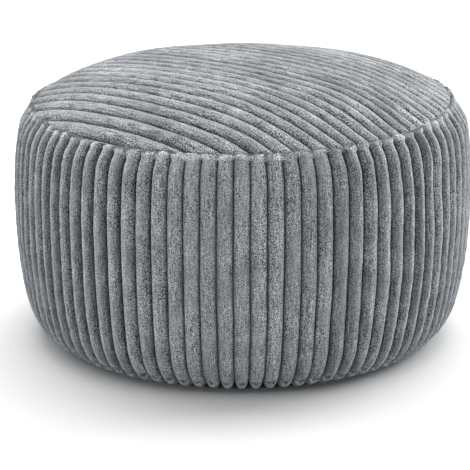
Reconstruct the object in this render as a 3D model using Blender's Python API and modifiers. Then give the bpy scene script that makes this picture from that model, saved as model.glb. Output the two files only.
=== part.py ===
"""Round bean bag: a filled, free-standing round pouf in wide-wale corduroy.

Three sewn pieces make it:
  side_band     the stuffed body: a ribbed band with upright wales, drawn in at
                the bottom, rounded at the shoulder, crowned under the top panel
  top_panel     a round of the same corduroy, straight wales across it, set
                inside the band's upper seam and pushed up into a low crown
  bottom_panel  a flat round of plain cloth that the pouf rests on

Frame: metres, +Z up, origin at the centre of the resting face.  +Y is the
back.  The wales of the top panel run from the back left to the front right.
"""
import math

import bmesh
import bpy
import numpy as np

# ---------------------------------------------------------------- main sizes
WIDEST_RADIUS = 0.2750     # over the rib crests, at a little over mid height
SEAM_HEIGHT = 0.2838       # top edge of the band, where the top panel is sewn
SEAM_RADIUS = 0.2524
CROWN_RISE = 0.0462        # rise of the top panel's crests above the seam
CROWN_POWER = 2.84         # 2 is a parabola, higher is flatter in the middle

# ------------------------------------------------------------------ corduroy
BAND_WALES = 88            # upright ribs round the band, 19.6 mm apart
COLUMNS_PER_WALE = 3       # one column in the groove, two along the flat crest
TOP_WALE_PITCH = 0.0173    # laid flat, drawn in a little less than the band
TOP_WALE_DEPTH = 0.0050    # crest to groove on the top panel
TOP_WALE_ANGLE = math.radians(41.9)   # turn of the wales from +X towards -Y
TOP_GROOVE_AT = -0.0031    # distance of one groove from the centre, across
BACKING = 0.0025           # cloth under the grooves of the top panel

# ----------------------------------------------------------------- clearance
GAP = 0.0003               # between pieces that are sewn face to face
CROWN_GAP = 0.0004         # under the crowned panel, whose facets are larger

# -------------------------------------------------------------- small pieces
PANEL_RADIUS = 0.2516      # top panel, just inside the ledge of the band
LEDGE_RADIUS = 0.2520      # step in the band that the panel's rim drops into
BASE_RADIUS = 0.2200       # plain bottom round
BASE_THICKNESS = 0.0030

# Sections of the band from the seam down: height of the section, radius over
# the crests, depth of the grooves there.
BAND_SECTIONS = (
    # name        height   radius   groove
    ("seam",      0.2821,  0.2538,  0.0010),
    ("turn",      0.2750,  0.2608,  0.0040),
    ("shoulder",  0.2615,  0.2684,  0.0060),
    ("upper",     0.2300,  0.2735,  0.0062),
    ("widest",    0.1730,  WIDEST_RADIUS, 0.0062),
    ("waist",     0.1150,  0.2728,  0.0062),
    ("low",       0.0635,  0.2668,  0.0062),
    ("heel",      0.0290,  0.2563,  0.0062),
    ("tuck",      0.0110,  0.2440,  0.0055),
    ("hem",       BASE_THICKNESS + GAP, 0.2290, 0.0040),
)

# Rings of the crown inside the ledge, and the stations along each top wale as
# shares of its half length.
CROWN_RINGS = (0.0, 0.085, 0.145, 0.190, 0.226)
WALE_STATIONS = (-1.0, -0.94, -0.78, -0.55, -0.28, 0.0,
                 0.28, 0.55, 0.78, 0.94, 1.0)
WALE_END_DROP = 0.0012     # crests dip where the panel's wales enter the seam

WALE_STEP = 2.0 * math.pi / BAND_WALES
COLUMNS = BAND_WALES * COLUMNS_PER_WALE


# --------------------------------------------------------------- small tools
def crest_height(radius):
    """Height of the top panel's crests at a distance from the axis."""
    share = radius / SEAM_RADIUS
    return SEAM_HEIGHT + CROWN_RISE * (1.0 - share ** CROWN_POWER)


def panel_underside(radius):
    return crest_height(radius) - TOP_WALE_DEPTH - BACKING


def groove_depth(height):
    """Depth of the band's grooves at a height, from the section table."""
    heights = [s[1] for s in reversed(BAND_SECTIONS)]
    depths = [s[3] for s in reversed(BAND_SECTIONS)]
    return float(np.interp(height, heights, depths))


def make_collection(name):
    collection = bpy.data.collections.new(name)
    bpy.context.scene.collection.children.link(collection)
    return collection


def make_cloth(name, colour, roughness):
    material = bpy.data.materials.new(name)
    material.use_nodes = True
    shader = material.node_tree.nodes["Principled BSDF"]
    shader.inputs["Base Color"].default_value = (*colour, 1.0)
    shader.inputs["Roughness"].default_value = roughness
    shader.inputs["Metallic"].default_value = 0.0
    material.diffuse_color = (*colour, 1.0)
    return material


def put_in(obj, collection):
    for other in list(obj.users_collection):
        other.objects.unlink(obj)
    collection.objects.link(obj)


def turn(name, profile, steps, collection):
    """A turned solid: a profile of (radius, height) pairs that starts on the
    axis at the top, runs down the outside and ends on the axis below."""
    mesh = bpy.data.meshes.new(name + "_profile")
    points = [(radius, 0.0, height) for radius, height in profile]
    edges = [(i, i + 1) for i in range(len(points) - 1)]
    mesh.from_pydata(points, edges, [])
    guide = bpy.data.objects.new(name + "_profile", mesh)
    collection.objects.link(guide)
    screw = guide.modifiers.new("turn", "SCREW")
    screw.axis = "Z"
    screw.angle = 2.0 * math.pi
    screw.screw_offset = 0.0
    screw.steps = steps
    screw.render_steps = steps
    screw.use_merge_vertices = True
    screw.merge_threshold = 0.00001
    screw.use_normal_calculate = False
    bpy.context.view_layer.update()
    graph = bpy.context.evaluated_depsgraph_get()
    solid = bpy.data.meshes.new_from_object(guide.evaluated_get(graph))
    solid.name = name
    bpy.data.objects.remove(guide)
    bpy.data.meshes.remove(mesh)
    obj = bpy.data.objects.new(name, solid)
    collection.objects.link(obj)
    return obj


def close_up(mesh):
    """Weld points that coincide and face every side outwards."""
    work = bmesh.new()
    work.from_mesh(mesh)
    bmesh.ops.remove_doubles(work, verts=work.verts[:], dist=0.00001)
    bmesh.ops.recalc_face_normals(work, faces=work.faces[:])
    work.to_mesh(mesh)
    work.free()
    mesh.update()


def finish(obj, material, angle):
    obj.data.materials.clear()
    obj.data.materials.append(material)
    obj.data.shade_smooth()
    obj.data.set_sharp_from_angle(angle=math.radians(angle))


# --------------------------------------------------------------- clear scene
for old in list(bpy.data.objects):
    bpy.data.objects.remove(old, do_unlink=True)

parts = make_collection("round_bean_bag")
cutters = make_collection("cutters")

band_cloth = make_cloth("band_corduroy", (0.235, 0.252, 0.263), 0.92)
top_cloth = make_cloth("top_corduroy", (0.245, 0.262, 0.273), 0.92)
base_cloth = make_cloth("base_cloth", (0.060, 0.062, 0.066), 0.85)

# ------------------------------------------------------------------ side band
# Turned over the crests first, then the groove columns are pulled in.  Inside
# the ledge the three columns of a wale are gathered into one, because the
# crown under the top panel is smooth.
band_profile = [(radius, panel_underside(radius) - CROWN_GAP)
                for radius in CROWN_RINGS]
band_profile.append((LEDGE_RADIUS, panel_underside(LEDGE_RADIUS) - CROWN_GAP))
band_profile.extend((radius, height)
                    for _, height, radius, _ in BAND_SECTIONS)
band_profile.append((0.0, BASE_THICKNESS + GAP))

side_band = turn("side_band", band_profile, COLUMNS, parts)
for vertex in side_band.data.vertices:
    x, y, z = vertex.co
    radius = math.hypot(x, y)
    if radius < 0.001:
        continue
    angle = math.atan2(y, x) + WALE_STEP / (2 * COLUMNS_PER_WALE)
    across = (angle / WALE_STEP + 0.5) % 1.0      # 0 in the groove
    in_groove = min(across, 1.0 - across) < 0.1
    if radius < LEDGE_RADIUS - 0.001 and z > 0.20:
        angle = (math.floor(across + 0.5) - across) * WALE_STEP + angle
    elif in_groove and radius > LEDGE_RADIUS + 0.0002 or in_groove and z < 0.02:
        radius -= groove_depth(z)
    vertex.co = (radius * math.cos(angle), radius * math.sin(angle), z)
close_up(side_band.data)
finish(side_band, band_cloth, 40)

# ------------------------------------------------------------------ top panel
# A grid whose lines follow the wales: every wale runs from rim to rim, so its
# stations are shares of the chord it lies on.
third = TOP_WALE_PITCH / 3.0
first = math.ceil((-PANEL_RADIUS + 0.004 - TOP_GROOVE_AT) / third)
last = math.floor((PANEL_RADIUS - 0.004 - TOP_GROOVE_AT) / third)
lines = [-PANEL_RADIUS + 0.0006]
lines.extend(TOP_GROOVE_AT + i * third for i in range(first, last + 1))
lines.append(PANEL_RADIUS - 0.0006)

bpy.ops.mesh.primitive_grid_add(x_subdivisions=len(lines) - 1,
                                y_subdivisions=len(WALE_STATIONS) - 1,
                                size=2.0, location=(0.0, 0.0, 0.0))
top_panel = bpy.context.active_object
top_panel.name = "top_panel"
top_panel.data.name = "top_panel"
put_in(top_panel, parts)

along_x, along_y = math.cos(TOP_WALE_ANGLE), -math.sin(TOP_WALE_ANGLE)
across_x, across_y = math.sin(TOP_WALE_ANGLE), math.cos(TOP_WALE_ANGLE)
for vertex in top_panel.data.vertices:
    column = round((vertex.co.x + 1.0) / 2.0 * (len(lines) - 1))
    station = round((vertex.co.y + 1.0) / 2.0 * (len(WALE_STATIONS) - 1))
    offset = lines[column]
    half = math.sqrt(PANEL_RADIUS ** 2 - offset ** 2)
    reach = WALE_STATIONS[station] * half
    x = offset * across_x + reach * along_x
    y = offset * across_y + reach * along_y
    radius = math.hypot(x, y)
    z = crest_height(radius)
    wale_share = ((offset - TOP_GROOVE_AT) / TOP_WALE_PITCH) % 1.0
    edge_line = column in (0, len(lines) - 1)
    if min(wale_share, 1.0 - wale_share) < 0.1 and not edge_line:
        z -= TOP_WALE_DEPTH
    elif edge_line or abs(WALE_STATIONS[station]) == 1.0:
        z -= WALE_END_DROP
    vertex.co = (x, y, z)

# The sheet of crests and grooves is made a block, and the crown is cut away
# from below: what stays is backing with solid ribs on it.
block = bmesh.new()
block.from_mesh(top_panel.data)
grown = bmesh.ops.extrude_face_region(block, geom=block.faces[:],
                                      use_keep_orig=True)
for item in grown["geom"]:
    if isinstance(item, bmesh.types.BMVert):
        item.co.z = 0.260
bmesh.ops.recalc_face_normals(block, faces=block.faces[:])
block.to_mesh(top_panel.data)
block.free()
top_panel.data.update()

cutter_rings = CROWN_RINGS + (LEDGE_RADIUS, 0.262)
cutter_profile = [(radius, panel_underside(radius))
                  for radius in cutter_rings]
cutter_profile += [(0.262, 0.250), (0.0, 0.250)]
crown_cutter = turn("crown_cutter", cutter_profile, BAND_WALES, cutters)
for vertex in crown_cutter.data.vertices:
    x, y, z = vertex.co
    radius = math.hypot(x, y)
    angle = math.atan2(y, x) + WALE_STEP / 2.0    # columns in the grooves
    vertex.co = (radius * math.cos(angle), radius * math.sin(angle), z)
close_up(crown_cutter.data)
crown_cutter.hide_render = True
crown_cutter.display_type = "WIRE"

cut = top_panel.modifiers.new("crown", "BOOLEAN")
cut.operation = "DIFFERENCE"
cut.solver = "EXACT"
cut.object = crown_cutter
finish(top_panel, top_cloth, 40)

# --------------------------------------------------------------- bottom panel
bpy.ops.mesh.primitive_cylinder_add(vertices=72, radius=BASE_RADIUS,
                                    depth=BASE_THICKNESS,
                                    location=(0.0, 0.0, BASE_THICKNESS / 2.0))
bottom_panel = bpy.context.active_object
bottom_panel.name = "bottom_panel"
bottom_panel.data.name = "bottom_panel"
put_in(bottom_panel, parts)
finish(bottom_panel, base_cloth, 40)
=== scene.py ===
"""Round corduroy bean bag (pouf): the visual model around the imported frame.

Three pieces stand for the three CAD nodes: the ribbed band with its filling,
the ribbed top panel and the plain base.  Metres, +Z up, the CAD's own frame.
"""
import math

import bmesh
import bpy
import numpy as np
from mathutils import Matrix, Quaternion, Vector


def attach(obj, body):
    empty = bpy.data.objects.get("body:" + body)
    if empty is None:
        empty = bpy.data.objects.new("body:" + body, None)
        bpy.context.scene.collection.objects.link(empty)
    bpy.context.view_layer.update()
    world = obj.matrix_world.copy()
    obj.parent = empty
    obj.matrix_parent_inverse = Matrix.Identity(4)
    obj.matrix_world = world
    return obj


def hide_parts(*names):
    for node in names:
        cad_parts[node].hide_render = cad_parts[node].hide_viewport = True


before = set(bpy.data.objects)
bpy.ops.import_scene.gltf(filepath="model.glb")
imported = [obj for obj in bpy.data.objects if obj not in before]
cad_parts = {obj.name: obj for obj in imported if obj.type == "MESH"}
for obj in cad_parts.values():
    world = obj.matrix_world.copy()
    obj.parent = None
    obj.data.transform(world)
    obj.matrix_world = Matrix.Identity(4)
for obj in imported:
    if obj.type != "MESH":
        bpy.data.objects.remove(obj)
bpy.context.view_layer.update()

# ------------------------------------------------------------------ sizes (m)
R = 0.275                   # widest radius over the crests
SEAM_Z = 0.2834
SEAM_R = 0.2524
TILT_X, TILT_Y, SADDLE, FRONT = 0.0131, -0.0304, -0.0037, 0.0035   # how the seam ring leans
CROWN_RISE = 0.0466
CROWN_POWER = 2.84
FULL_X, FULL_Y = -0.0023, -0.0065   # the crown is fuller on one side
BACK_LIFT, BACK_SKEW = 0.0100, -0.20
WALES = 88
STEP = 2.0 * math.pi / WALES
BAND_PHASE = 0.5            # grooves lie at (k + this) steps from +X
DEPTH = 0.0092              # crest to groove on the band
TOP_PITCH = 0.01729
TOP_ANGLE = math.radians(41.92)
TOP_GROOVE_AT = -0.0031
# how the wales of the top bend off straight lines: t*t, s*s, t*s, s^3, t^3,
# t*t*s and t*s*s, with s along the wales and t across them
TOP_BEND = (0.086, -0.110, 0.061, 0.459, -0.774, 0.001, 0.737)
TOP_DEPTH = 0.0078
TOP_RIM = SEAM_R - 0.0025

SHEEN = 0.45
FLECK, FIBRE, CELL = 1.5, 4.2, 0.55   # how strongly the pile is flecked

rng = np.random.default_rng(7)


# ------------------------------------------------------------- number helpers
def smooth(x, lo, hi):
    t = np.clip((x - lo) / (hi - lo), 0.0, 1.0)
    return t * t * (3.0 - 2.0 * t)


def field(seed, nu, nv, wrap_u=True):
    """A smooth random field on the unit square, periodic along u."""
    g = np.random.default_rng(seed).normal(size=(nu, nv))

    def at(u, v):
        u = np.asarray(u, float) * nu
        v = np.clip(np.asarray(v, float), 0.0, 1.0) * (nv - 1.001)
        iu = np.floor(u).astype(int)
        iv = np.floor(v).astype(int)
        fu, fv = u - iu, v - iv
        fu = fu * fu * (3.0 - 2.0 * fu)
        fv = fv * fv * (3.0 - 2.0 * fv)
        if wrap_u:
            a, b = iu % nu, (iu + 1) % nu
        else:
            a, b = np.clip(iu, 0, nu - 1), np.clip(iu + 1, 0, nu - 1)
        c, d = np.clip(iv, 0, nv - 1), np.clip(iv + 1, 0, nv - 1)
        return ((g[a, c] * (1 - fu) + g[b, c] * fu) * (1 - fv)
                + (g[a, d] * (1 - fu) + g[b, d] * fu) * fv)
    return at


def spline(points, count):
    """Points spaced evenly along a smooth curve through the given points."""
    p = np.asarray(points, float)
    d = np.sqrt(np.linalg.norm(np.diff(p, axis=0), axis=1))
    t = np.concatenate([[0.0], np.cumsum(d)])
    out = []
    for i in range(len(p) - 1):
        p1, p2 = p[i], p[i + 1]
        m1 = ((p[i + 1] - p[i - 1]) / (t[i + 1] - t[i - 1])) if i else \
            (p2 - p1) / (t[1] - t[0])
        m2 = ((p[i + 2] - p[i]) / (t[i + 2] - t[i])) if i + 2 < len(p) else \
            (p2 - p1) / (t[i + 1] - t[i])
        h = t[i + 1] - t[i]
        s = np.linspace(0, 1, 60, endpoint=False)[:, None]
        out.append((2 * s**3 - 3 * s**2 + 1) * p1 + (s**3 - 2 * s**2 + s) * h * m1
                   + (-2 * s**3 + 3 * s**2) * p2 + (s**3 - s**2) * h * m2)
    out = np.vstack(out + [p[-1:]])
    length = np.concatenate([[0], np.cumsum(np.linalg.norm(np.diff(out, axis=0), axis=1))])
    return out, length


def rib_shape(s, power=2.15):
    """Height of a wale's section, 0 in the groove and 1 on the crest, for s
    from -0.5 to 0.5 across it."""
    return np.clip(1.0 - np.abs(2.0 * s) ** power, 0.0, 1.0) ** 0.5


def new_mesh(name, verts, faces, colours=None, cloth=None, smooth_faces=True):
    mesh = bpy.data.meshes.new(name)
    mesh.from_pydata(verts, [], faces)
    if smooth_faces:
        mesh.shade_smooth()
    if colours is not None:
        layer = mesh.color_attributes.new("pile", "FLOAT_COLOR", "POINT")
        rgba = np.ones((len(verts), 4), np.float32)
        rgba[:, :3] = colours
        layer.data.foreach_set("color", rgba.ravel())
    if cloth is not None:
        # where each point lies on the flat cloth, in metres
        layer = mesh.color_attributes.new("cloth", "FLOAT_COLOR", "POINT")
        rgba = np.ones((len(verts), 4), np.float32)
        rgba[:, :3] = cloth
        layer.data.foreach_set("color", rgba.ravel())
    mesh.update()
    obj = bpy.data.objects.new(name, mesh)
    bpy.context.scene.collection.objects.link(obj)
    return obj


def lean(x, y):
    """How much the seam ring stands higher or lower than level: the pouf
    leans a little to its left and its rim dips beside the front."""
    front = FRONT * np.exp(-(front_angle(x, y) / 30.0) ** 2) * np.hypot(x, y) / SEAM_R
    return TILT_X * x + TILT_Y * y + SADDLE * (y * y - x * x) / SEAM_R ** 2 + front


# ------------------------------------------------------------------ the band
# Meridian over the crests, from the seam crease over the lip, down the side
# and round under the bottom: radius, height.
MERIDIAN = (
    (SEAM_R - 0.0037, SEAM_Z - 0.0046), (SEAM_R - 0.0033, SEAM_Z - 0.0018),
    (SEAM_R - 0.0015, SEAM_Z + 0.0004), (SEAM_R + 0.0013, SEAM_Z + 0.0002),
    (0.2606, 0.2752), (0.2642, 0.2706), (0.2676, 0.2636), (0.2708, 0.2520),
    (0.2735, 0.2300),
    (0.2749, 0.2020), (0.2750, 0.1731), (0.2746, 0.1440), (0.2731, 0.1154),
    (0.2706, 0.0880), (0.2672, 0.0635), (0.2626, 0.0440), (0.2562, 0.0288),
    (0.2480, 0.0168), (0.2394, 0.0090), (0.2316, 0.0040), (0.2240, 0.0010),
    (0.2170, 0.0008), (0.2110, 0.0024),
)
COLS = np.array([-0.5, -0.480, -0.435, -0.360, -0.250, -0.090,
                 0.090, 0.250, 0.360, 0.435, 0.480])


def band_rows(count):
    """Arc positions of the rows: close together at the lip and the tips."""
    curve, length = spline(MERIDIAN, count)
    total = length[-1]
    lin = np.linspace(0, total, 2000)
    dens = (1.0 + 2.2 * np.exp(-(lin / 0.016) ** 2)
            + 2.0 * np.exp(-((lin - (total - 0.030)) / 0.020) ** 2))
    cum = np.concatenate([[0], np.cumsum((dens[1:] + dens[:-1]) / 2)])
    at = np.interp(np.linspace(0, cum[-1], count), cum, lin)
    r = np.interp(at, length, curve[:, 0])
    z = np.interp(at, length, curve[:, 1])
    dr = np.interp(at + 1e-4, length, curve[:, 0]) - np.interp(at - 1e-4, length, curve[:, 0])
    dz = np.interp(at + 1e-4, length, curve[:, 1]) - np.interp(at - 1e-4, length, curve[:, 1])
    n = np.hypot(dr, dz) + 1e-12
    nr, nz = -dz / n, dr / n
    return at, total, r, z, nr, nz


def front_angle(x, y):
    """Degrees round from the front, + towards the right."""
    return np.degrees(np.arctan2(x, -y))


def fringe(u, a):
    """0 in the flattened fringe beside the seam, 1 where the grooves are at
    their full depth; u in turns, a in metres below the seam."""
    start = 0.0104 + 0.0016 * field(17, 74, 2)(u, 0 * u) + 0.0008 * field(18, 211, 2)(u, 0 * u)
    return smooth(a, start, start + 0.0048)


def make_band():
    rows = 100
    at, total, r0, z0, nr, nz = band_rows(rows)
    s = np.tile(COLS, WALES)
    k = np.repeat(np.arange(WALES), len(COLS))
    u = (k + 0.5 + s) / WALES                      # turns, crest centre mid
    n_cols = len(s)
    V, U = np.meshgrid(at / total, u, indexing="ij")
    S = np.broadcast_to(s, V.shape)
    K = np.broadcast_to(k, V.shape)
    A = at[:, None] * np.ones_like(V)              # metres below the seam
    B = total - A                                  # metres from the far end

    wide = field(11, 9, 5)
    mid = field(12, 40, 9)
    sway = field(13, WALES, 7)
    swell = field(14, WALES, 10)
    fine = field(15, WALES * 5, 96)
    grain = field(19, WALES * 8, 150)
    per = rng.normal(size=WALES)
    per2 = rng.normal(size=WALES)
    per3 = rng.normal(size=WALES)
    per4 = rng.normal(size=WALES)

    angle = (U + BAND_PHASE / WALES) * 2 * math.pi
    phi = front_angle(np.cos(angle), np.sin(angle))
    # crests wander a little round the band, by half a millimetre or so
    angle = angle + (0.0005 * sway(U, V) + 0.0010 * mid(U, V)) * smooth(A, 0.01, 0.05)

    open_lip = fringe(U, A)
    left = np.exp(-((phi + 68.0) / 34.0) ** 2)
    keep = 0.16 + 0.42 * left
    depth = DEPTH * (1.0 + 0.06 * per[K] + 0.07 * swell(U, V))
    depth = depth * (keep + (1 - keep) * open_lip)
    depth = depth * (1.0 + 0.50 * smooth(-B, -0.052, -0.026))
    h = rib_shape(S)
    inward = depth * (1.0 - h)

    # the gathered lip: each wale's end rises or dips a little
    lip = smooth(-A, -0.016, -0.005)
    lip_noise = field(16, WALES * 2, 3)
    lip_fine = field(20, WALES * 6, 3)
    rise = lip * (0.0006 * per2[K] + 0.0008 * lip_noise(U, V) + 0.0007 * lip_fine(U, V))
    rise = np.maximum(rise, -0.0007)

    # each wale's lower end is drawn into a small puckered slit
    off = 0.05 * per3[K]
    tip_at = total - 0.0385 + 0.0007 * per4[K]
    bow = 0.0022 * ((S - off) / 0.30) ** 2
    slit = np.exp(-(((S - off) / 0.25) ** 2 + ((A - tip_at + bow) / 0.0025) ** 2))
    slit = slit * (0.82 + 0.18 * np.tanh(per[K] + per2[K]))
    crease = (np.exp(-((S - off - 0.02) / 0.060) ** 2) * smooth(A, tip_at - 0.013, tip_at - 0.002)
              * smooth(-A, -tip_at - 0.001, -tip_at))
    inward = inward + 0.0032 * slit + 0.0013 * crease
    under_lip = np.exp(-((A - tip_at - 0.0074 + bow) / 0.0036) ** 2) * smooth(h, 0.40, 0.80)
    over_lip = np.exp(-((A - tip_at + 0.0062) / 0.0042) ** 2) * smooth(h, 0.45, 0.85) * (1 - crease)
    inward = inward - 0.0010 * under_lip

    swell_out = 0.0010 * wide(U, V) + 0.0005 * mid(U, V)
    swell_out = swell_out * smooth(A, 0.004, 0.05) * smooth(B, 0.03, 0.09)
    pile = (0.00024 * fine(U, V) + 0.00010 * grain(U, V)) * smooth(h, 0.2, 0.7)

    # the shoulder lies flatter towards the back on either side
    flank = np.exp(-((phi - 112.0) / 30.0) ** 2) + np.exp(-((phi + 112.0) / 30.0) ** 2)
    out = swell_out + pile - inward - 0.0034 * flank * np.exp(-((z0[:, None] - 0.270) / 0.010) ** 2)
    rr = r0[:, None] + nr[:, None] * out
    zz = z0[:, None] + nz[:, None] * out + rise
    zz = zz + lean(rr * np.cos(angle), rr * np.sin(angle)) * smooth(zz, 0.17, 0.285)
    zz = np.maximum(zz, 0.0003)
    co = np.stack([rr * np.cos(angle), rr * np.sin(angle), zz], -1).reshape(-1, 3)

    keep_tone = 0.10 + 0.55 * left
    groove = 1.0 - (1.0 - h) * (keep_tone + (1 - keep_tone) * open_lip)
    # the pile's own tone varies at random wale by wale and half by half; on top of it painted light and shade
    # lighten the left shoulder and the front crests and make one half of each wale lighter by the side it faces
    half_split = np.tanh((S - 0.10 * field(24, WALES, 8)(U, V)) / 0.07)
    slope = np.clip(2.2 * S, -1.0, 1.0)
    round_off = 1.0 - 3.4 * S * S
    # painted light and shade: on the wales right of the front the right half is lighter and the left half darker
    turn = 0.13 * smooth(phi, -8.0, 18.0) * smooth(-phi, -78.0, -50.0)
    nap_and_painted_light = (0.47 + 0.05 * per[K] + 0.06 * field(21, WALES, 14)(U, V)
           + 0.05 * field(22, 60, 22)(U, V)
           # painted highlight on the left shoulder just below the lip
           + 0.20 * left * np.exp(-((A - 0.014) / 0.022) ** 2)
           # painted light: near the front each crest is lighter than its flanks
           + 0.22 * np.exp(-((phi + 2.0) / 30.0) ** 2) * (round_off - 0.45)
           + half_split * (turn + 0.04 * field(23, WALES, 6)(U, V))
           # painted light and shade: left of the front each wale's left half is lighter, right of it the right
           # half
           - slope * 0.66 * smooth(-phi, 8.0, 42.0) * smooth(phi, -125.0, -85.0)
           + slope * 0.13 * np.exp(-((phi - 4.0) / 11.0) ** 2)
           + slope * 0.30 * smooth(phi, 12.0, 40.0) * smooth(-phi, -125.0, -85.0))
    right = np.exp(-((phi - 66.0) / 30.0) ** 2)
    # painted highlight on the fluffed fringe below the seam, weaker at the left and right, and on the lips above
    # and below each tip's slit; painted shade in the slit and its crease
    edge_light_and_shade = ((1.0 - open_lip) * (0.72 + 0.22 * lip_noise(U, V)) * (1 - 0.40 * left - right * (0.10 + 0.68 * smooth(A, 0.0045, 0.0080)))
            + 0.85 * under_lip + 0.25 * over_lip - 2.2 * slit - 1.1 * crease)
    colours = np.stack([groove, nap_and_painted_light, 0.5 + 0.5 * edge_light_and_shade], -1).reshape(-1, 3)
    cloth = np.stack([R * np.cos(U * 2 * math.pi), R * np.sin(U * 2 * math.pi), A], -1).reshape(-1, 3)

    idx = np.arange(rows * n_cols).reshape(rows, n_cols)
    a = idx[:-1, :]
    b = np.roll(idx, -1, 1)[:-1, :]
    c = np.roll(idx, -1, 1)[1:, :]
    d = idx[1:, :]
    # rows run downwards and columns counter-clockwise, so a d c b faces out
    quads = np.stack([a, d, c, b], -1).reshape(-1, 4).tolist()
    top_c, low_c = len(co), len(co) + 1
    co = np.vstack([co, [[0, 0, 0.300], [0, 0, 0.0042]]])
    colours = np.vstack([colours, [[0.3, 0.5, 0.5]] * 2])
    cloth = np.vstack([cloth, [[0, 0, 0], [0, 0, total]]])
    top_ring, low_ring = idx[0], idx[-1]
    fans = [[int(top_ring[i]), int(top_ring[(i + 1) % n_cols]), top_c]
            for i in range(n_cols)]
    fans += [[int(low_ring[(i + 1) % n_cols]), int(low_ring[i]), low_c]
             for i in range(n_cols)]
    return new_mesh("band_cover", co.tolist(), quads + fans, colours, cloth)


def tufts(name, points, normals, lengths, widths, light, seed):
    """Many short bent tufts of pile in one mesh: each a closed three-sided
    spike rooted at a point of the surface."""
    g = np.random.default_rng(seed)
    n = len(points)
    up = normals / np.linalg.norm(normals, axis=1, keepdims=True)
    side = np.cross(up, g.normal(size=(n, 3)))
    side /= np.linalg.norm(side, axis=1, keepdims=True)
    other = np.cross(up, side)
    bend = side * lengths[:, None]
    turn = np.arange(3) * 2 * math.pi / 3
    ring = side[:, None] * np.cos(turn)[None, :, None] + other[:, None] * np.sin(turn)[None, :, None]
    w = widths[:, None, None] * 0.5
    root = points[:, None] + ring * w - up[:, None] * 0.0006
    mid = (points + up * lengths[:, None] * 0.55 + bend * 0.14)[:, None] + ring * w * 0.85
    tip = (points + up * lengths[:, None] * 0.95 + bend * 0.55)[:, None]
    co = np.concatenate([root, mid, tip], 1).reshape(-1, 3)
    base = (np.arange(n) * 7)[:, None, None]
    quads, tris = [], [[2, 1, 0]]
    for i in range(3):
        j = (i + 1) % 3
        quads.append([i, j, 3 + j, 3 + i])
        tris.append([3 + i, 3 + j, 6])
    faces = (base + np.array(quads)[None]).reshape(-1, 4).tolist() + \
        (base + np.array(tris)[None]).reshape(-1, 3).tolist()
    tone = np.repeat(light, 7)
    colours = np.stack([np.ones(n * 7), 0.5 + 0 * tone, tone], -1)
    return new_mesh(name, co.tolist(), faces, colours, co)


def make_fuzz():
    """Loose pile that stands up where the wales' cut ends meet the seam."""
    g = np.random.default_rng(51)
    n = 7500
    at, total, r0, z0, nr, nz = band_rows(400)
    u = g.random(n)
    a = 0.0030 + 0.0080 * g.random(n) ** 1.1
    dense = field(52, 120, 2)(u, 0 * u)
    keep = g.random(n) < np.clip(0.62 + 0.35 * dense, 0.12, 1.0)
    u, a = u[keep], a[keep]
    n = len(u)
    angle = (u + BAND_PHASE / WALES) * 2 * math.pi
    # towards the sides the pile closes over the seam itself
    side = smooth(np.abs(front_angle(np.cos(angle), np.sin(angle))), 34.0, 54.0)
    a = a - 0.0017 * side
    r = np.interp(a, at, r0) - 0.0004
    z = np.interp(a, at, z0) - 0.0002
    x, y = r * np.cos(angle), r * np.sin(angle)
    z = z + lean(x, y)
    rad, hgt = np.interp(a, at, nr), np.interp(a, at, nz)
    nrm = np.stack([rad * np.cos(angle), rad * np.sin(angle), hgt + 0.25], -1)
    nrm = nrm + 0.55 * g.normal(size=(n, 3))
    length = 0.0011 + 0.0011 * g.random(n) ** 1.5 + 0.0007 * side
    width = 0.0007 + 0.0005 * g.random(n)
    # the tufts' tone, with a painted highlight on those nearest the seam towards the sides
    light = 0.70 + 0.13 * g.normal(size=n) + 0.26 * side * (a < 0.0052)
    return tufts("seam_fuzz", np.stack([x, y, z], -1), nrm, length, width, light, 53)


# ------------------------------------------------------------- the top panel
def crown(x, y):
    q = np.minimum(np.hypot(x, y) / SEAM_R, 1.0)
    back = BACK_LIFT * np.clip(y / SEAM_R, 0.0, 1.0) * (1.0 + BACK_SKEW * x / SEAM_R)
    return (SEAM_Z + CROWN_RISE * (1.0 - q ** CROWN_POWER)
            + (FULL_X * x + FULL_Y * y) / SEAM_R * q * (1.0 - q * q)
            + back * q ** 4 * (1.0 - q * q) / 0.12 + lean(x, y))


def across_top(lane, s):
    """Distance across the top of a line that lies lane wales from the first
    groove, at a distance s along it."""
    straight = TOP_GROOVE_AT + np.asarray(lane, float) * TOP_PITCH
    a, b, c, d, e, f, g = TOP_BEND
    t = straight + 0 * s
    for _ in range(30):
        bent = (a * t * t + b * s * s + c * t * s + d * s ** 3 + e * t ** 3
                + f * t * t * s + g * t * s * s)
        t = 0.3 * t + 0.7 * (straight - bent)
    return t


def reach_of(lane):
    """The two ends of that line inside the panel's rim, or None."""
    s = np.linspace(-0.26, 0.26, 1041)
    r = np.hypot(across_top(lane, s), s) - TOP_RIM
    inside = np.flatnonzero(r < 0)
    if len(inside) < 6:
        return None
    i, j = inside[0], inside[-1]
    lo = s[i - 1] + (s[i] - s[i - 1]) * r[i - 1] / (r[i - 1] - r[i])
    hi = s[j] + (s[j + 1] - s[j]) * r[j] / (r[j] - r[j + 1])
    return lo, hi


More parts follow.
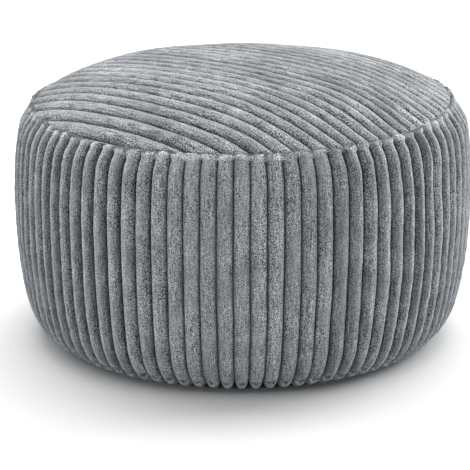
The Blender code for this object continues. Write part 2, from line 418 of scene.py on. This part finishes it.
def make_top():
    lanes, ends = [], []
    for j in range(-16, 17):
        for c in COLS:
            found = reach_of(j + 0.5 + c)
            if found:
                lanes.append((j, c))
                ends.append(found)
    for side, step in ((0, -1.0), (-1, 1.0)):
        # one last short line close to the rim
        j, c = lanes[side]
        near, far = 0.0, 0.2
        for _ in range(14):
            probe = 0.5 * (near + far)
            near, far = (probe, far) if reach_of(j + 0.5 + c + step * probe) else (near, probe)
        found = reach_of(j + 0.5 + c + step * near)
        if found and near > 0.004:
            at = 0 if side == 0 else len(lanes)
            lanes.insert(at, (j, c + step * near))
            ends.insert(at, found)
    J = np.array([x[0] for x in lanes])
    J = J - J.min()
    C = np.array([x[1] for x in lanes])
    lane = np.array([x[0] + 0.5 + x[1] for x in lanes])
    lo = np.array([x[0] for x in ends])
    hi = np.array([x[1] for x in ends])
    rows = 300
    g = np.linspace(-1, 1, rows)
    sig = np.sin(g * math.pi / 2 * 0.86) / math.sin(math.pi / 2 * 0.86)
    S = (lo + hi)[None, :] / 2 + sig[:, None] * ((hi - lo) / 2)[None, :]
    TT = across_top(np.broadcast_to(lane, S.shape), S)
    over = np.hypot(TT, S) / TOP_RIM
    over[[0, -1]] = np.maximum(over[[0, -1]], 0.9999)
    n_j = J.max() + 1
    U = np.clip((TT + TOP_RIM) / (2 * TOP_RIM), 0, 1)
    V = np.clip((S + TOP_RIM) / (2 * TOP_RIM), 0, 1)
    per = rng.normal(size=n_j + 2)
    wob = field(31, 8, 8, False)
    wob2 = field(32, 26, 12, False)
    t_shift = 0.0006 * wob(U, V) + 0.0004 * wob2(U, V)
    ax, ay = math.cos(TOP_ANGLE), -math.sin(TOP_ANGLE)
    bx, by = math.sin(TOP_ANGLE), math.cos(TOP_ANGLE)
    rad0 = np.hypot(TT, S)
    inside = 1.0 - smooth(rad0, TOP_RIM - 0.022, TOP_RIM - 0.003)
    t2 = TT + t_shift * inside
    x = t2 * bx + S * ax
    y = t2 * by + S * ay
    rad = np.hypot(x, y)
    Jn = np.broadcast_to(J, S.shape)
    Cn = np.broadcast_to(np.clip(C, -0.5, 0.5), S.shape)
    h = rib_shape(Cn)
    swell = field(33, 26, 12, False)
    depth = TOP_DEPTH * (1 + 0.06 * per[Jn] + 0.07 * swell(U, V))
    dive = smooth(rad, TOP_RIM - 0.0050, TOP_RIM)
    depth = depth * (1 - 0.20 * dive)
    fine = field(34, 300, 300, False)
    low = field(35, 7, 7, False)
    z = crown(x, y) - depth * (1 - h)
    z = z - 0.0018 * dive ** 1.6 + 0.0006 * low(U, V) * inside \
        + 0.00020 * fine(U, V) * smooth(h, 0.2, 0.7)
    co = np.stack([x, y, z], -1)
    # the pile's own tone varies at random wale by wale; painted light makes each wale's crest and one of its
    # flanks lighter
    nap_and_painted_light = (0.47 + 0.15 * np.clip(2.4 * Cn, -1, 1) + 0.20 * (0.55 - 3.4 * Cn * Cn)
           + 0.08 * per[Jn] * 0.6 + 0.09 * field(36, 26, 16, False)(U, V)
           + 0.10 * field(37, 9, 9, False)(U, V))
    far_x, far_y = TT * math.sin(TOP_ANGLE) + S * math.cos(TOP_ANGLE), TT * math.cos(TOP_ANGLE) - S * math.sin(TOP_ANGLE)
    # darker in one broad patch towards the back left
    nap_and_painted_light = nap_and_painted_light - 0.16 * np.exp(-((far_x + 0.055) / 0.055) ** 2 - ((far_y - 0.190) / 0.050) ** 2)
    # painted shade in the seam crease round the rim, strongest towards the front, and a painted highlight on the
    # wale crests just inside it
    facing = np.exp(-((front_angle(x, y) + 6.0) / 46.0) ** 2)
    seam_shade = smooth(rad, TOP_RIM - 0.0030, TOP_RIM - 0.0006) * (0.04 + 0.96 * facing) * (0.75 + 0.25 * wob2(U, V))
    edge_light_and_shade = 0.45 * dive * (1 - seam_shade) * (0.6 + 0.4 * wob2(U, V)) * smooth(h, 0.5, 0.9) - 1.7 * seam_shade
    colours = np.stack([h, nap_and_painted_light, 0.5 + 0.5 * edge_light_and_shade], -1).reshape(-1, 3)
    cloth = np.stack([TT, S, 0 * S], -1).reshape(-1, 3)
    n_r, n_c = S.shape
    idx = np.arange(n_r * n_c).reshape(n_r, n_c)
    a, b, c, d = idx[:-1, :-1], idx[:-1, 1:], idx[1:, 1:], idx[1:, :-1]
    faces = np.stack([a, b, c, d], -1).reshape(-1, 4)
    verts = co.reshape(-1, 3)
    # the sense that faces up
    p = verts[faces[len(faces) // 2]]
    if np.cross(p[1] - p[0], p[2] - p[0])[2] < 0:
        faces = faces[:, ::-1]
        flip = True
    else:
        flip = False
    # underside: a coarse copy 2.2 mm below the grooves, joined round the rim
    cc = np.unique(np.concatenate([np.arange(0, n_c, 11), [n_c - 1]]))
    rr = np.unique(np.concatenate([np.arange(0, n_r, 10), [n_r - 1]]))
    base = len(verts)
    under = co[np.ix_(rr, cc)].copy()
    rad_u = np.hypot(under[..., 0], under[..., 1])
    under[..., 2] = crown(under[..., 0], under[..., 1]) \
        - TOP_DEPTH - 0.0022 - 0.0030 * smooth(rad_u, TOP_RIM - 0.0065, TOP_RIM)
    verts = np.vstack([verts, under.reshape(-1, 3)])
    colours = np.vstack([colours, np.full((under.shape[0] * under.shape[1], 3), 0.4)])
    cloth = np.vstack([cloth, under.reshape(-1, 3)])
    uid = base + np.arange(len(rr) * len(cc)).reshape(len(rr), len(cc))
    a, b, c, d = uid[:-1, :-1], uid[:-1, 1:], uid[1:, 1:], uid[1:, :-1]
    low_faces = np.stack([a, d, c, b], -1).reshape(-1, 4)
    if flip:
        low_faces = low_faces[:, ::-1]
    rim = []

    def strip(dense, lo, hi, reverse):
        poly = [int(v) for v in dense] + [int(hi), int(lo)]
        if reverse != flip:
            poly = poly[::-1]
        rim.append(poly)
    for i in range(len(cc) - 1):
        strip(idx[0, cc[i]:cc[i + 1] + 1], uid[0, i], uid[0, i + 1], True)
        strip(idx[-1, cc[i]:cc[i + 1] + 1], uid[-1, i], uid[-1, i + 1], False)
    for i in range(len(rr) - 1):
        strip(idx[rr[i]:rr[i + 1] + 1, 0], uid[i, 0], uid[i + 1, 0], False)
        strip(idx[rr[i]:rr[i + 1] + 1, -1], uid[i, -1], uid[i + 1, -1], True)
    all_faces = faces.tolist() + low_faces.tolist() + rim
    return new_mesh("top_cover", verts.tolist(), all_faces, colours, cloth)


# ------------------------------------------------------------------ the base
def make_base():
    rings, cols = 30, 176
    radii = np.linspace(0.0, 0.2215, rings + 1)[1:]
    ang = np.arange(cols) * 2 * math.pi / cols
    P, Q = np.meshgrid(radii, ang, indexing="ij")
    f = field(41, 30, 6)
    puck = smooth(P, 0.19, 0.2215)
    wave = 0.0004 * np.cos(Q * WALES) * puck
    low = 0.0006 * puck + 0.0003 * np.abs(f(Q / (2 * math.pi), P / 0.2215)) + 0 * P
    up = 0.0030 + wave
    bot = np.stack([P * np.cos(Q), P * np.sin(Q), low], -1).reshape(-1, 3)
    top = np.stack([P * np.cos(Q), P * np.sin(Q), up], -1).reshape(-1, 3)
    n = len(bot)
    verts = np.vstack([bot, top, [[0, 0, 0.0003], [0, 0, 0.0030]]])
    idx = np.arange(n).reshape(rings, cols)
    faces = []
    nxt = np.roll(idx, -1, 1)
    for i in range(rings - 1):
        for j in range(cols):
            faces.append([int(idx[i, j]), int(nxt[i, j]), int(nxt[i + 1, j]), int(idx[i + 1, j])])
            faces.append([int(n + idx[i + 1, j]), int(n + nxt[i + 1, j]), int(n + nxt[i, j]), int(n + idx[i, j])])
    for j in range(cols):
        faces.append([int(nxt[0, j]), int(idx[0, j]), 2 * n])
        faces.append([int(n + idx[0, j]), int(n + nxt[0, j]), 2 * n + 1])
        faces.append([int(idx[-1, j]), int(nxt[-1, j]), int(n + nxt[-1, j]), int(n + idx[-1, j])])
    return new_mesh("base_cover", verts.tolist(), faces)


# ----------------------------------------------------------------- materials
def corduroy(name, dark, light, along, bump=1.0, groove_dark=0.07, groove_from=0.10, groove_to=0.72,
             fine=1.0, streaks=0.9):
    """Cut pile: dark and light, the two ends of its colour, between which the pile's own tone and the painted
    light and shade mix; along, which of the cloth's coordinates runs along the wales."""
    mat = bpy.data.materials.new(name)
    mat.use_nodes = True
    tree = mat.node_tree
    nodes, links = tree.nodes, tree.links
    bsdf = nodes["Principled BSDF"]
    bsdf.inputs["Roughness"].default_value = 0.95
    bsdf.inputs["Specular IOR Level"].default_value = 0.12
    bsdf.inputs["Sheen Weight"].default_value = SHEEN
    bsdf.inputs["Sheen Roughness"].default_value = 0.35
    bsdf.inputs["Sheen Tint"].default_value = (0.92, 0.96, 1.0, 1.0)

    def attribute(which):
        n = nodes.new("ShaderNodeAttribute")
        n.attribute_name = which
        n.attribute_type = "GEOMETRY"
        return n
    sep = nodes.new("ShaderNodeSeparateColor")
    links.new(attribute("pile").outputs["Color"], sep.inputs[0])
    groove, nap_and_painted_light, edge_light_and_shade = sep.outputs[0], sep.outputs[1], sep.outputs[2]
    cloth = attribute("cloth").outputs["Vector"]

    def stretched(amount):
        n = nodes.new("ShaderNodeMapping")
        scale = [1.0, 1.0, 1.0]
        scale[along] = amount
        n.inputs["Scale"].default_value = scale
        links.new(cloth, n.inputs["Vector"])
        return n.outputs[0]
    short, long = stretched(0.62), stretched(0.30)

    def noise(scale, detail, rough, where, dist=0.0):
        n = nodes.new("ShaderNodeTexNoise")
        n.inputs["Scale"].default_value = scale
        n.inputs["Detail"].default_value = detail
        n.inputs["Roughness"].default_value = rough
        n.inputs["Distortion"].default_value = dist
        links.new(where, n.inputs["Vector"])
        return n.outputs["Fac"]

    def calc(op, a, b=None, clamp=False):
        n = nodes.new("ShaderNodeMath")
        n.operation = op
        n.use_clamp = clamp
        for i, x in enumerate((a, b)):
            if x is None:
                continue
            if isinstance(x, (int, float)):
                n.inputs[i].default_value = x
            else:
                links.new(x, n.inputs[i])
        return n.outputs[0]

    def spread(value, gain):
        """The value's distance from its middle, times gain."""
        return calc("MULTIPLY", calc("SUBTRACT", value, 0.5), gain)

    n_clump = noise(150.0, 2.0, 0.6, short)
    n_fleck = noise(1150.0 * fine, 0.0, 0.5, short)
    n_fibre = noise(1750.0 * fine, 0.0, 0.5, stretched(0.45))
    n_streak = noise(640.0, 0.0, 0.5, stretched(0.09))
    n_patch = noise(34.0, 1.0, 0.5, stretched(0.55))
    cells = nodes.new("ShaderNodeTexVoronoi")
    cells.inputs["Scale"].default_value = 1150.0 * fine
    links.new(short, cells.inputs["Vector"])
    cell = nodes.new("ShaderNodeSeparateColor")
    links.new(cells.outputs["Color"], cell.inputs[0])

    tone = calc("ADD", nap_and_painted_light, spread(n_clump, 0.15))
    tone = calc("ADD", tone, spread(n_streak, 0.20))
    tone = calc("ADD", tone, spread(edge_light_and_shade, 1.0), clamp=True)
    mix = nodes.new("ShaderNodeMix")
    mix.data_type = "RGBA"
    mix.inputs[6].default_value = (*dark, 1)
    mix.inputs[7].default_value = (*light, 1)
    links.new(tone, mix.inputs[0])

    # flecks of lighter tips and darker hollows, rougher in some patches
    rough = nodes.new("ShaderNodeMapRange")
    rough.inputs["From Min"].default_value = 0.36
    rough.inputs["From Max"].default_value = 0.64
    rough.inputs["To Min"].default_value = 0.60
    rough.inputs["To Max"].default_value = 1.25
    links.new(n_patch, rough.inputs["Value"])
    speck = calc("ADD", spread(n_fleck, FLECK), spread(n_fibre, FIBRE))
    speck = calc("ADD", speck, spread(cell.outputs[0], CELL))
    speck = calc("ADD", speck, spread(n_streak, streaks))
    speck = calc("MULTIPLY", speck, rough.outputs[0])
    speck = calc("ADD", speck, 1.0)
    speck = calc("MAXIMUM", speck, 0.12)
    flecked = nodes.new("ShaderNodeMix")
    flecked.data_type = "RGBA"
    flecked.blend_type = "MULTIPLY"
    flecked.inputs[0].default_value = 1.0
    links.new(mix.outputs[2], flecked.inputs[6])
    links.new(speck, flecked.inputs[7])

    # the fluffed cut ends catch the light
    lift = calc("MULTIPLY", calc("SUBTRACT", edge_light_and_shade, 0.5), 2.0, clamp=True)
    lift = calc("ADD", calc("MULTIPLY", lift, 0.30), 1.0)
    lit = nodes.new("ShaderNodeMix")
    lit.data_type = "RGBA"
    lit.blend_type = "MULTIPLY"
    lit.inputs[0].default_value = 1.0
    links.new(flecked.outputs[2], lit.inputs[6])
    links.new(lift, lit.inputs[7])

    # little light reaches the foot of the pile in the grooves
    ramp = nodes.new("ShaderNodeValToRGB")
    ramp.color_ramp.elements[0].position = groove_from
    ramp.color_ramp.elements[0].color = (groove_dark, groove_dark, groove_dark, 1)
    ramp.color_ramp.elements[1].position = groove_to
    ramp.color_ramp.elements[1].color = (1, 1, 1, 1)
    links.new(groove, ramp.inputs[0])
    mul = nodes.new("ShaderNodeMix")
    mul.data_type = "RGBA"
    mul.blend_type = "MULTIPLY"
    mul.inputs[0].default_value = 1.0
    links.new(lit.outputs[2], mul.inputs[6])
    links.new(ramp.outputs[0], mul.inputs[7])
    links.new(mul.outputs[2], bsdf.inputs["Base Color"])

    height = calc("ADD", spread(n_fleck, 1.0), spread(n_fibre, 0.5))
    height = calc("ADD", height, spread(n_clump, 1.4))
    bmp = nodes.new("ShaderNodeBump")
    bmp.inputs["Strength"].default_value = 0.8 * bump
    bmp.inputs["Distance"].default_value = 0.0013
    links.new(height, bmp.inputs["Height"])
    links.new(bmp.outputs[0], bsdf.inputs["Normal"])
    return mat


def woven(name, colour):
    mat = bpy.data.materials.new(name)
    mat.use_nodes = True
    tree = mat.node_tree
    nodes, links = tree.nodes, tree.links
    bsdf = nodes["Principled BSDF"]
    bsdf.inputs["Roughness"].default_value = 0.88
    bsdf.inputs["Specular IOR Level"].default_value = 0.25
    co = nodes.new("ShaderNodeTexCoord")

    def wave(direction, scale):
        n = nodes.new("ShaderNodeTexWave")
        n.wave_type = "BANDS"
        n.bands_direction = direction
        n.inputs["Scale"].default_value = scale
        n.inputs["Distortion"].default_value = 0.6
        links.new(co.outputs["Object"], n.inputs["Vector"])
        return n.outputs["Fac"]
    mx = nodes.new("ShaderNodeMath")
    mx.operation = "MAXIMUM"
    links.new(wave("X", 380.0), mx.inputs[0])
    links.new(wave("Y", 380.0), mx.inputs[1])
    ramp = nodes.new("ShaderNodeValToRGB")
    ramp.color_ramp.elements[0].color = (*(c * 0.55 for c in colour), 1)
    ramp.color_ramp.elements[1].color = (*(c * 1.25 for c in colour), 1)
    links.new(mx.outputs[0], ramp.inputs[0])
    links.new(ramp.outputs[0], bsdf.inputs["Base Color"])
    bmp = nodes.new("ShaderNodeBump")
    bmp.inputs["Strength"].default_value = 0.5
    bmp.inputs["Distance"].default_value = 0.0004
    links.new(mx.outputs[0], bmp.inputs["Height"])
    links.new(bmp.outputs[0], bsdf.inputs["Normal"])
    return mat


band = make_band()
top = make_top()
base = make_base()
fuzz = make_fuzz()

band.data.materials.append(corduroy("band_pile", (0.129, 0.139, 0.150), (0.455, 0.484, 0.512), 2))
top.data.materials.append(corduroy("top_pile", (0.123, 0.129, 0.137), (0.420, 0.436, 0.456), 1,
                                  groove_dark=0.02, groove_from=0.16, groove_to=0.72, fine=0.72, streaks=1.7))
fuzz.data.materials.append(corduroy("fuzz_pile", (0.101, 0.107, 0.114), (0.355, 0.369, 0.385), 2))
base.data.materials.append(woven("base_weave", (0.060, 0.062, 0.066)))

for piece, node, slot in ((band, "side_band", "band_corduroy"),
                          (top, "top_panel", "top_corduroy"),
                          (base, "bottom_panel", "base_cloth")):
    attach(piece, "root")
    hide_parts(node)
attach(fuzz, "root")

# --------------------------------------------------------- floor and backdrop
bpy.ops.mesh.primitive_grid_add(x_subdivisions=4, y_subdivisions=4, size=14.0,
                                location=(0, 0, 0))
floor = bpy.context.active_object
floor.name = "studio_floor"
fmat = bpy.data.materials.new("studio_floor")
fmat.use_nodes = True
fb = fmat.node_tree.nodes["Principled BSDF"]
fb.inputs["Base Color"].default_value = (0.90, 0.90, 0.90, 1)
fb.inputs["Roughness"].default_value = 0.9
fb.inputs["Specular IOR Level"].default_value = 0.0
floor.data.materials.append(fmat)

world = bpy.data.worlds.new("studio")
bpy.context.scene.world = world
world.use_nodes = True
world.node_tree.nodes["Background"].inputs[0].default_value = (1, 1, 1, 1)
world.node_tree.nodes["Background"].inputs[1].default_value = 0.01


def area(name, at, look, size, power, shape="RECTANGLE", size_y=None):
    data = bpy.data.lights.new(name, "AREA")
    data.shape = shape
    data.size = size
    if size_y:
        data.size_y = size_y
    data.energy = power
    light = bpy.data.objects.new(name, data)
    light.location = at
    light.rotation_euler = (Vector(look) - Vector(at)).to_track_quat("-Z", "Y").to_euler()
    light.visible_camera = False
    bpy.context.scene.collection.objects.link(light)
    return light


area("softbox_over", (0.0, 0.9, 2.3), (0, 0, 0.12), 2.8, 83.0, size_y=2.0)
area("softbox_front_over", (0.0, -0.9, 2.3), (0, 0, 0.12), 2.8, 26.6, size_y=2.0)
area("softbox_back_left", (-2.0, 1.2, 1.0), (0, 0, 0.12), 1.6, 19.0, size_y=1.5)
area("softbox_back_right", (2.0, 1.2, 1.0), (0, 0, 0.12), 1.6, 59.0, size_y=1.5)
area("fill_front", (0.0, -4.3, 0.75), (0, 0, 0.12), 3.0, 17.5, size_y=1.0)
area("fill_front_left", (-1.6, -3.8, 0.65), (0, 0, 0.12), 1.4, 10.5, size_y=1.0)
area("fill_low_left", (-2.5, -0.3, 0.40), (0, 0, 0.12), 1.4, 6.5, size_y=0.7)

# --------------------------------------------------------------------- camera
ELEV = math.radians(17.69)
DIST = 12.5 * R
TARGET = Vector((0.0, 0.0, 0.5 * R))
FOCAL_PX = 226.08 / 0.08
cam_data = bpy.data.cameras.new("camera")
cam_data.sensor_width = 36.0
cam_data.lens = FOCAL_PX / 470.0 * 36.0
cam_data.clip_end = 60.0
cam = bpy.data.objects.new("camera", cam_data)
cam.location = TARGET + Vector((0.0, -DIST * math.cos(ELEV), DIST * math.sin(ELEV)))
look = (TARGET - cam.location).to_track_quat("-Z", "Y")
seen = Vector((241.84 - 235.0, 235.0 - 217.44, -FOCAL_PX)).normalized()
cam.rotation_mode = "QUATERNION"
cam.rotation_quaternion = look @ seen.rotation_difference(Vector((0, 0, -1)))
bpy.context.scene.collection.objects.link(cam)
bpy.context.scene.camera = cam

view = bpy.context.scene.view_settings
view.view_transform = "Standard"
view.look = "None"
view.exposure = 0.0
view.gamma = 1.0
